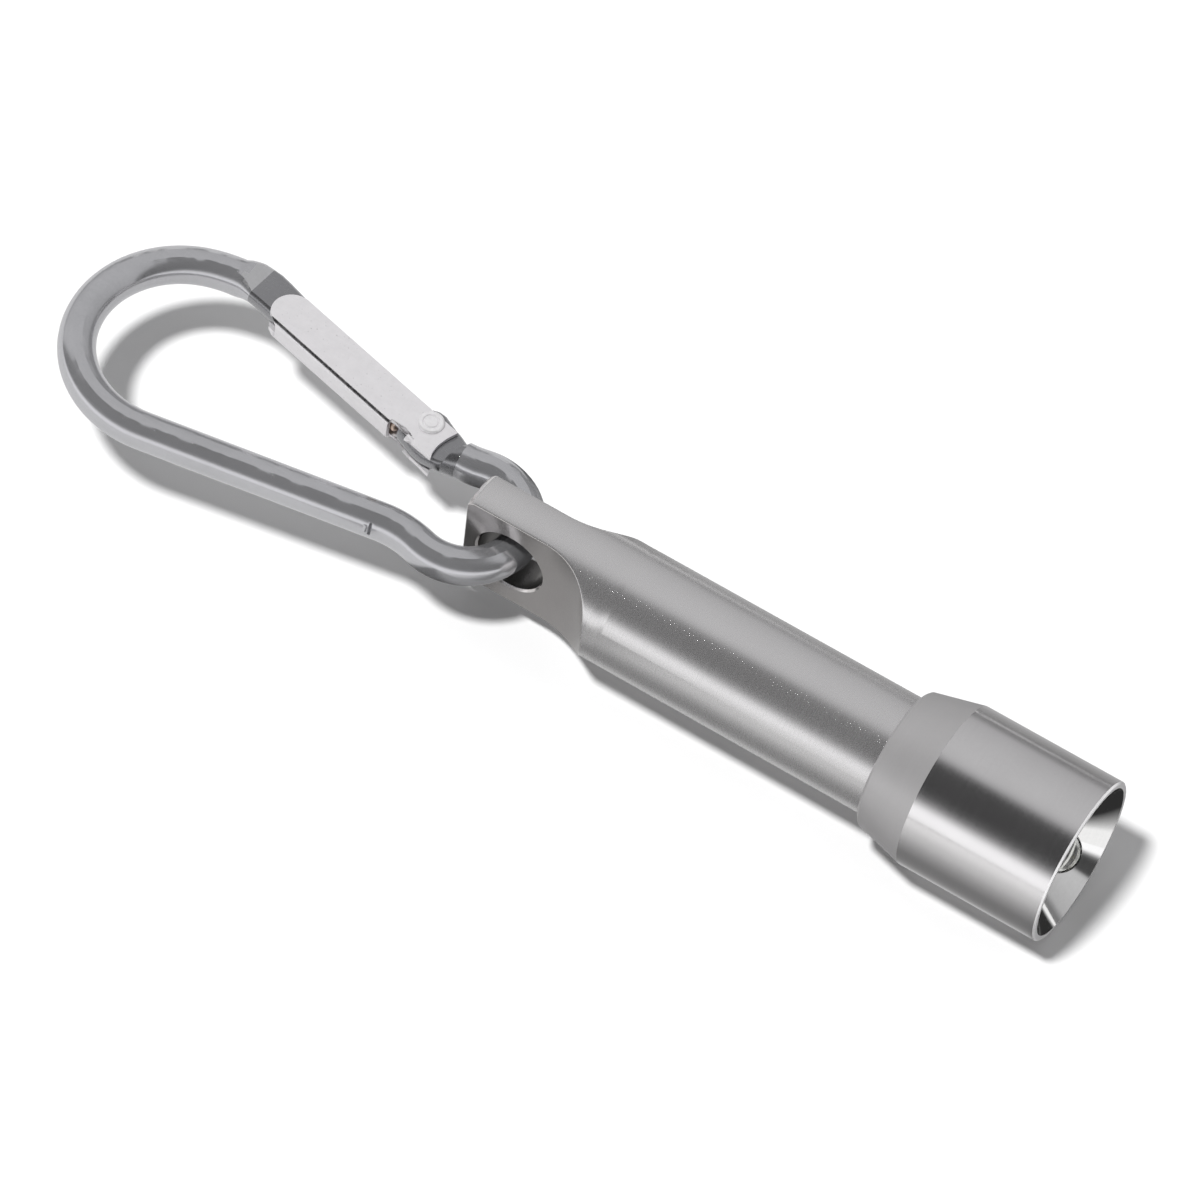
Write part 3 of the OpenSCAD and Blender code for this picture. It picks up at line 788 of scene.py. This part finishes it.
def make_carabiner():
    """The bent wire with its pressed hinge end and its flattened nose."""
    route = wire_route()
    spread = math.radians(24)
    rings = []
    # Hinge plate from its far end back to the step, as inner and outer edge points (u, v)
    plate = [((18.42, 4.62), (18.5, 5.9), 0.72), ((18.55, 4.45), (18.62, 6.1), 0.88),
             ((18.3, 4.3), (18.5, 6.9), 1.0), ((17.9, 4.1), (18.2, 8.1), 1.0),
             ((17.4, 3.9), (17.7, 8.95), 1.0), ((16.8, 3.65), (17.0, 9.45), 1.0),
             ((16.1, 3.4), (16.2, 9.7), 1.0), ((15.4, 3.2), (15.3, 9.6), 1.0),
             ((14.6, 3.1), (14.4, 9.15), 1.0), ((13.8, 3.14), (13.5, 8.72), 1.0),
             ((13.0, 3.25), (12.5, 8.35), 1.0), ((12.55, 3.35), (11.7, 7.95), 1.0),
             ((12.42, 3.42), (11.3, 7.75), 1.05), ((12.36, 3.47), (11.1, 7.72), 1.35),
             ((12.3, 3.5), (11.0, 7.75), 1.9)]
    for inner, outer, half_h in plate:
        rings.append(wire_section(inner, outer, half_h, max(1.25, half_h + 0.02)))
    for k, (point, normal) in enumerate(route):
        if k == 0:
            continue
        rings.append(wire_section(point - WIRE_R * normal, point + WIRE_R * normal, WIRE_R,
                                  WIRE_R, spread * min(1.0, (k + 1) / 5)))
    # Nose from the full wire down to the plate's end, as (s, t) inside and outside. The
    # ramp's height falls evenly, so that its two ends are crisp folds.
    ramp = [((27.62, -3.22), (28.98, 1.12), 1.92), ((27.25, -3.06), (28.4, 1.55), 1.69),
            ((26.85, -2.93), (27.8, 1.88), 1.46), ((26.45, -2.84), (27.2, 2.02), 1.23),
            ((26.05, -2.78), (26.6, 2.15), 1.0), ((25.4, -2.74), (25.6, 2.27), 1.0),
            ((24.2, -2.72), (24.2, 2.22), 1.0), ((23.0, -2.72), (23.0, 2.12), 1.0),
            ((21.6, -2.7), (21.6, 2.0), 1.0), ((20.4, -2.6), (20.4, 1.85), 1.0),
            ((19.6, -2.4), (19.6, 1.6), 1.0), ((19.1, -2.1), (19.1, 1.2), 0.95),
            ((18.9, -1.8), (18.9, 0.8), 0.8)]
    for inner, outer, half_h in ramp:
        worn = max(WIRE_R - 0.05, 0.45 * WIRE_R + 0.55 * half_h + 0.1) - (1.92 - half_h)
        edge_r = WIRE_R if half_h > 1.8 else max(half_h + 0.1, worn)
        rings.append(wire_section(plane_from_gate(*inner), plane_from_gate(*outer), half_h,
                                  edge_r, spread * 0.4))
    points, faces = capped(rings)
    wire = mesh_object("carabiner_wire", put(points, world_from_plane()), faces,
                       [wire_metal, pressed_metal, ramp_metal], 18)
    bore = lathe("rivet_bore", [(-2, 0.0), (-2, RIVET_BORE_R), (2, RIVET_BORE_R), (2, 0.0)],
                 pressed_metal, 48)
    bore.data.transform(Matrix.Scale(MM, 4) @ world_from_gate() @ Matrix.Scale(1 / MM, 4)
                        @ Matrix.Rotation(math.pi / 2, 4, "Y"))
    cut(wire, bore)
    spine = Vector((-math.sin(LEG_ANGLE), -math.cos(LEG_ANGLE)))
    mark = wire_mark(STAKE_AT, spine, STAKE_ROUND)
    cut(wire, ridge("chisel", mark, -0.42, 0.06, 0.55, 0.8, 0.5, -0.42, pressed_metal))
    burr = ridge("stake_burr", mark, 0.30, 0.48, 0.95, 0.42, -0.12, 0.24, wire_metal)
    rounded_edges(burr, 0.06)
    smooth(burr, 35)
    fit(burr, "carabiner", "wire_metal")
    to_plane = world_from_plane().inverted()
    for face in wire.data.polygons:
        u, v, h = to_plane @ (face.center / MM)
        s = (u - RIVET_U) * math.cos(GATE_ANGLE) + (v - RIVET_V) * math.sin(GATE_ANGLE)
        at_hinge = v > 2.5 and 10.9 < u < 19.5
        at_nose = v > 3.0 and 17.0 < s < 28.0 and u < BOW_U + 4
        pressed = (at_hinge and abs(h) < 2.12) or (at_nose and s < 26.2)
        on_ramp = at_nose and s > 26.2 and 1.0 < abs(h) < 2.1 and 0.8 < abs(face.normal.z)
        face.material_index = 2 if on_ramp else 1 if pressed else 0
    smooth(wire, 18)
    baked(wire)
    return fit(wire, "carabiner", "wire_metal", "carabiner_body")


# ------------------------------------------------------------------------ gate


def gate_sheet_point(row, rows_flat, rows_bend, rows_web):
    """Place and outward normal of the folded sheet at a row: (t, h, normal t, normal h)."""
    bend_r = 0.6
    half = GATE_H / 2
    web_half = half - bend_r
    if row <= rows_flat:
        turned = math.pi * row / (2 * rows_flat)
        t = PLATE_OUT - (PLATE_OUT - PLATE_IN - bend_r) * (1 - math.cos(turned * 2)) / 2
        return t, half, 0.0, 1.0
    row -= rows_flat
    if row <= rows_bend:
        angle = math.pi / 2 + math.pi / 2 * row / rows_bend
        t = PLATE_IN + bend_r + bend_r * math.cos(angle)
        return t, web_half + bend_r * math.sin(angle), math.cos(angle), math.sin(angle)
    row -= rows_bend
    if row <= rows_web:
        return PLATE_IN, web_half - 2 * web_half * row / rows_web, -1.0, 0.0
    row -= rows_web
    t, h, nt, nh = gate_sheet_point(rows_flat + rows_bend - row, rows_flat, rows_bend, rows_web)
    return t, -h, nt, -nh


def make_gate():
    """The folded sheet gate: rounded nose end, hollowed hinge end and a relief notch."""
    rows_flat, rows_bend, rows_web = 16, 5, 4
    rows = 2 * (rows_flat + rows_bend) + rows_web
    first_bend, last_bend = rows_flat, rows - rows_flat
    nose_centre = PLATE_IN + NOSE_ROUND_R
    stations = [HINGE_END, -2.2, -1.6, -0.9, -0.2, NOTCH_START, 1.4, 2.3, WEB_START, 4.0]
    stations += [4.0 + (NOSE_ROUND_S - 4.0) * k / 12 for k in range(1, 13)]
    body_count = len(stations)
    nose_steps = 8

    def along(column, t, row):
        """s at a column: the hinge end is hollow and the nose end is round."""
        if column >= body_count:
            share = (column - body_count + 1) / nose_steps
            bulge = math.sqrt(max(NOSE_ROUND_R ** 2 - (t - nose_centre) ** 2, 0.0))
            if first_bend < row < last_bend:
                depth = min(row - first_bend, last_bend - row) / rows_bend
                bulge = max(1.42 * (1 - depth), 0.15)
            return NOSE_ROUND_S + max(bulge, 0.15) * share
        s = stations[column]
        if s < NOTCH_START:
            share = (NOTCH_START - s) / (NOTCH_START - HINGE_END)
            lean = 0.11 if t < -0.9 else 0.055
            s -= share * lean * (t + 0.9) ** 2
        return s

    points, faces, index = [], [], {}
    columns = body_count + nose_steps

    def corner(row, column, inside):
        """Index of the sheet's point, made when first asked for."""
        key = (row, column, inside)
        if key not in index:
            t, h, nt, nh = gate_sheet_point(row, rows_flat, rows_bend, rows_web)
            s = along(column, t, row)
            side = 1 if row <= rows // 2 else -1
            if column < 5 and first_bend < row < last_bend:
                depth = min(row - first_bend, last_bend - row)
                t, h = PLATE_IN + 0.6 - 0.5 * depth / rows_bend, side * GATE_H / 2
                nt, nh = 0.0, side
            if 5 <= column <= 8 and row in (first_bend, last_bend):
                t += (0.55, 0.75, 0.45, 0.0)[column - 5] * 0.6
            lift = max(0.0, (-s - 1.4)) * max(0.0, (-t - 1.2)) * 0.045
            drop = SHEET_T if inside else 0.0
            points.append((s, t - nt * drop, h + side * lift - nh * drop))
            index[key] = len(points) - 1
        return index[key]

    def present(row, column):
        """Whether the sheet has a face from this row and column to the next ones."""
        if row < 0 or row >= rows or column < 0 or column >= columns - 1:
            return False
        if first_bend <= row < last_bend:
            depth = min(row - first_bend, last_bend - 1 - row)
            return depth < rows_bend if column < 5 else column >= 8
        return True

    for row in range(rows):
        for column in range(columns - 1):
            if not present(row, column):
                continue
            for inside in (0, 1):
                faces.append((corner(row, column, inside), corner(row, column + 1, inside),
                              corner(row + 1, column + 1, inside),
                              corner(row + 1, column, inside)))
            for dr, dc, a, b in ((-1, 0, (0, 0), (0, 1)), (1, 0, (1, 0), (1, 1)),
                                 (0, -1, (0, 0), (1, 0)), (0, 1, (0, 1), (1, 1))):
                if not present(row + dr, column + dc):
                    p, q = (row + a[0], column + a[1]), (row + b[0], column + b[1])
                    faces.append((corner(*p, 0), corner(*q, 0), corner(*q, 1), corner(*p, 1)))
    sheet = mesh_object("gate_sheet_body", put(points, world_from_gate()), faces,
                        [sheet_metal, fold_painted_shade], 35)
    rounded_edges(sheet, 0.09, 50)
    to_gate = world_from_gate().inverted()
    # Faces round the inner bends take the darker material, which is painted shade in the crease
    for face in sheet.data.polygons:
        s, t, h = to_gate @ (face.center / MM)
        on_fold = 1.36 < abs(h) < 1.56 and t < PLATE_IN + 0.42 and s > NOTCH_START
        face.material_index = 1 if on_fold else 0
    smooth(sheet, 35)
    baked(sheet)
    return fit(sheet, "gate", "gate_sheet", "gate_channel")


def make_spring_seat():
    """The wall that the gate's spring pushes against, pressed in from the web."""
    s0, s1, t0, t1, h = 15.0, 15.5, PLATE_IN + 0.1, PLATE_IN + 2.4, GATE_H / 2 - SHEET_T
    corners = [(s, t, z) for s in (s0, s1) for t in (t0, t1) for z in (-h, h)]
    faces = [(0, 1, 3, 2), (4, 6, 7, 5), (0, 4, 5, 1), (2, 3, 7, 6), (0, 2, 6, 4), (1, 5, 7, 3)]
    seat = mesh_object("spring_seat", put(corners, world_from_gate()), faces, [sheet_metal])
    rounded_edges(seat, 0.1)
    smooth(seat, 35)
    return fit(seat, "gate", "gate_sheet")


def turned_on_gate(name, outline, material, offset, steps=64, upright=False):
    """A lathe piece laid along s, or stood up along h, on the gate."""
    piece = lathe(name, outline, material, steps, 30)
    turn = Matrix.Rotation(-math.pi / 2, 4, "Y") if upright else Matrix.Identity(4)
    place = (Matrix.Scale(MM, 4) @ world_from_gate() @ Matrix.Translation(offset)
             @ Matrix.Scale(1 / MM, 4) @ turn)
    piece.data.transform(place)
    piece.data.flip_normals()
    return piece


def make_rivet():
    """The rivet: a shank with a pressed head at each end, each with a ring groove."""
    half = GATE_H / 2
    top = half + RIVET_HEAD_H
    side = [(half, RIVET_SHANK_R), (half, RIVET_HEAD_R, 0.06),
            (half + 0.2, RIVET_HEAD_R, 0.12), (top, 1.33, 0.1), (top, 0.98, 0.04),
            (top - 0.16, 0.9, 0.03), (top - 0.16, 0.8, 0.03), (top - 0.02, 0.7, 0.05),
            (top - 0.06, 0.001)]
    mirrored = [(-p[0], *p[1:]) for p in reversed(side)]
    rivet = turned_on_gate("gate_rivet_body", side + mirrored, rivet_metal, (0, 0, 0),
                           upright=True)
    return fit(rivet, "gate", "rivet_metal", "gate_rivet")


def make_plunger():
    """The plunger with its round nose and its stem."""
    head, stem, front = 0.9, 0.45, 2.75
    plunger = turned_on_gate("gate_plunger_body", [
        (front, 0.001), (front, head, 0.3), (front + 1.4, head, 0.08),
        (front + 1.4, stem, 0.05), (front + 4.4, stem, 0.12), (front + 4.4, 0.001)
    ], plunger_metal, (0, PLUNGER_T, 0), 48)
    return fit(plunger, "plunger", "plunger_metal", "gate_plunger")


def make_springs():
    """The tail spring behind the cells, and the spring behind the gate's plunger."""
    tail = make_coil("tail_spring_coil", BORE_FLOOR + 0.02, CELLS_REAR - 0.02, 4.2, 0.3, 3,
                     spring_metal)
    fit(tail, "barrel", "spring_steel", "tail_spring")
    coil = make_coil("gate_spring_coil", SPRING_REAR, SPRING_SEAT, 0.66, 0.13, 13,
                     spring_metal, 8, 18)
    place = (Matrix.Scale(MM, 4) @ world_from_gate() @ Matrix.Translation((0, PLUNGER_T, 0))
             @ Matrix.Scale(1 / MM, 4))
    coil.data.transform(place)
    coil.data.flip_normals()
    fit(coil, "gate", "spring_steel", "gate_spring")
    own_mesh(coil)


# ------------------------------------------------------------------ what is made

make_barrel()
core_r = NECK_R - THREAD_DEPTH
make_thread("barrel_thread", "barrel", NECK_X + 0.8, NECK_END - 0.75, core_r, NECK_R, 0.0,
            barrel_metal)
make_head()
make_thread("head_thread", "head", NECK_X + 1.3, NECK_END - 0.3, NECK_R + THREAD_FIT,
            core_r + THREAD_FIT, math.pi, head_metal)
make_lens()
make_carabiner()
make_gate()
make_spring_seat()
make_rivet()
make_plunger()
make_springs()

NODE_FINISH = {
    "o_ring": rubber, "led_holder": holder_plastic, "led_board": laminate,
    "contact_ring": gilt, "centre_contact": gilt, "board_resistor": ceramic,
    "led_leads": lead_silver, "led_chip": phosphor, "solder_joints": solder_metal,
}
for number in (1, 2, 3):
    NODE_FINISH[f"cell_{number}_can"] = nickel
    NODE_FINISH[f"cell_{number}_gasket"] = nylon
    NODE_FINISH[f"cell_{number}_cap"] = cap_steel
for node, material in NODE_FINISH.items():
    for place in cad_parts[node].material_slots:
        place.material = material

# --------------------------------------------------------- floor, light, camera

# Camera: azimuth, elevation and roll in degrees, place and lens in mm
CAMERA_ANGLES = (26.11, 54.06, -7.66)
CAMERA_PLACE = (172.73, -392.14, 601.12)
CAMERA_LENS = 206.87

# Key light: the way it shines, its strength, and how wide it looks in degrees
KEY_TOWARDS = (1.92, 3.31, -9.6)
KEY_ENERGY = 3.35
KEY_SOFTNESS = 8

FLOOR_GAP = 0.00002
FLOOR_REACH = 6.0

def ramp_node(tree, stops, first, last):
    """A grey ramp through (place, level) stops, and the node that feeds it places."""
    share = tree.nodes.new("ShaderNodeMapRange")
    share.inputs["From Min"].default_value = first
    share.inputs["From Max"].default_value = last
    ramp = tree.nodes.new("ShaderNodeValToRGB")
    for number, (place, level) in enumerate(stops):
        at = (place - first) / (last - first)
        elements = ramp.color_ramp.elements
        stop = elements[number] if number < 2 else elements.new(at)
        stop.position = at
        stop.color = (level, level, level * 1.01, 1.0)
    tree.links.new(share.outputs["Result"], ramp.inputs["Fac"])
    return share.inputs["Value"], ramp.outputs["Color"]


def make_floor():
    """A white floor. Glossy rays see a grey sweep instead, an emitted painted reflection of the
    floor with painted shadow of the torch in its dark stops:
    bands along Y, and past the barrel's ends levels along X. Stops are in metres."""
    level = cad_box[0][2] - FLOOR_GAP
    reach = FLOOR_REACH
    mesh = bpy.data.meshes.new("floor")
    mesh.from_pydata([(-reach, -reach, level), (reach, -reach, level), (reach, reach, level),
                      (-reach, reach, level)], [], [(0, 1, 2, 3)])
    floor = bpy.data.objects.new("floor", mesh)
    bpy.context.scene.collection.objects.link(floor)
    n = Nodes("floor_paper_painted_reflection")
    links = n.tree.links
    split = n.add("ShaderNodeSeparateXYZ", {"Vector": n.place})
    # Painted reflection: the low stops are painted shadow of the barrel, lug and head on the
    # floor, and the high stops are painted lit floor
    bands = [(-0.200, 0.95), (-0.066, 0.80), (-0.031, 0.56), (-0.020, 0.33), (-0.0146, 0.20),
             (-0.0120, 0.20), (-0.0095, 0.23), (-0.0085, 0.32), (-0.0074, 0.56), (0.018, 0.52),
             (0.027, 0.45), (0.046, 0.36), (0.150, 0.20), (0.300, 0.19)]
    beside = [(-0.15, 1), (-0.0235, 1), (-0.0205, 0), (0.0385, 0), (0.041, 1), (0.2, 1)]
    levels = [(-0.15, 0.78), (-0.0435, 0.78), (-0.0415, 0.06), (-0.0355, 0.06),
              (-0.0315, 0.30), (-0.0225, 0.34), (0.0, 0.34), (0.030, 0.03), (0.047, 0.03),
              (0.056, 0.95), (0.2, 0.95)]
    tones = []
    for stops, side in ((bands, "Y"), (beside, "X"), (levels, "X")):
        place, tone_out = ramp_node(n.tree, stops, stops[0][0], stops[-1][0])
        links.new(split.outputs[side], place)
        tones.append(tone_out)
    sweep, share, level_out = tones
    painted_floor_reflection = n.maths("ADD", n.maths("MULTIPLY", sweep, n.maths("SUBTRACT", 1.0, share)),
                   n.maths("MULTIPLY", level_out, share))
    painted_reflection_emission = n.add("ShaderNodeEmission", {"Color": painted_floor_reflection, "Strength": 1.0}).outputs[0]
    mottle = n.spread(n.noise(60, 3.0), 0.815, 0.825)
    paper = n.add("ShaderNodeCombineColor", {"Red": mottle, "Green": mottle,
                                            "Blue": mottle}).outputs[0]
    mesh.materials.append(n.finish(paper, Roughness=0.9, Specular_IOR_Level=0.1))
    # Glossy rays get the emitted painted reflection, and every other ray gets the white paper
    glossy = n.add("ShaderNodeLightPath").outputs["Is Glossy Ray"]
    either = n.tree.nodes.new("ShaderNodeMixShader")
    links.new(glossy, either.inputs[0])
    links.new(n.shader.outputs[0], either.inputs[1])
    links.new(painted_reflection_emission, either.inputs[2])
    links.new(either.outputs[0], n.tree.nodes["Material Output"].inputs["Surface"])


def make_world():
    """A studio round the X axis: a wide soft box overhead and behind, a dark room behind
    the camera and a low bright strip in front."""
    world = bpy.data.worlds.new("studio")
    bpy.context.scene.world = world
    world.use_nodes = True
    tree = world.node_tree
    place = tree.nodes.new("ShaderNodeTexCoord")
    split = tree.nodes.new("ShaderNodeSeparateXYZ")
    tree.links.new(place.outputs["Generated"], split.inputs[0])
    forward = tree.nodes.new("ShaderNodeMath")
    forward.operation = "MULTIPLY"
    forward.inputs[1].default_value = -1.0
    tree.links.new(split.outputs["Y"], forward.inputs[0])
    angle = tree.nodes.new("ShaderNodeMath")
    angle.operation = "ARCTAN2"
    tree.links.new(forward.outputs[0], angle.inputs[0])
    tree.links.new(split.outputs["Z"], angle.inputs[1])
    bands = [(-180, 0.5), (-95, 0.20), (-84, 0.20), (-79, 0.30), (-73, 0.44), (-40, 0.52),
             (-17, 0.55), (-3, 0.54), (4, 0.42), (9, 0.16), (15, 0.07), (46, 0.06), (56, 0.09),
             (63, 0.24), (69, 0.62), (75, 1.10), (92, 1.10), (180, 0.5)]
    radians = [(math.radians(degrees), level) for degrees, level in bands]
    angle_in, colour = ramp_node(tree, radians, -math.pi, math.pi)
    tree.links.new(angle.outputs[0], angle_in)
    tree.links.new(colour, tree.nodes["Background"].inputs["Color"])


def make_key():
    """One soft key light from high up that throws the shadow. Glossy rays don't see it."""
    lamp = bpy.data.lights.new("key", "SUN")
    lamp.energy = KEY_ENERGY
    lamp.angle = math.radians(KEY_SOFTNESS)
    key = bpy.data.objects.new("key", lamp)
    towards = Vector(KEY_TOWARDS)
    key.rotation_euler = towards.to_track_quat("-Z", "Y").to_euler()
    key.visible_glossy = False
    bpy.context.scene.collection.objects.link(key)


def make_camera():
    """The camera at the photograph's viewing angle."""
    azimuth, elevation, roll = map(math.radians, CAMERA_ANGLES)
    back = Vector((math.sin(azimuth) * math.cos(elevation),
                   -math.cos(azimuth) * math.cos(elevation), math.sin(elevation)))
    right = (-back).cross(Vector((0, 0, 1))).normalized()
    down = (-back).cross(right)
    across = math.cos(roll) * right + math.sin(roll) * down
    below = math.cos(roll) * down - math.sin(roll) * right
    data = bpy.data.cameras.new("camera")
    data.sensor_width = 36.0
    data.lens = CAMERA_LENS
    data.clip_end = 20.0
    camera = bpy.data.objects.new("camera", data)
    turn = Matrix((across, -below, back)).transposed().to_4x4()
    camera.matrix_world = Matrix.Translation(Vector(CAMERA_PLACE) * MM) @ turn
    bpy.context.scene.collection.objects.link(camera)
    bpy.context.scene.camera = camera


make_floor()
make_world()
make_key()
make_camera()
bpy.context.scene.view_settings.view_transform = "Standard"
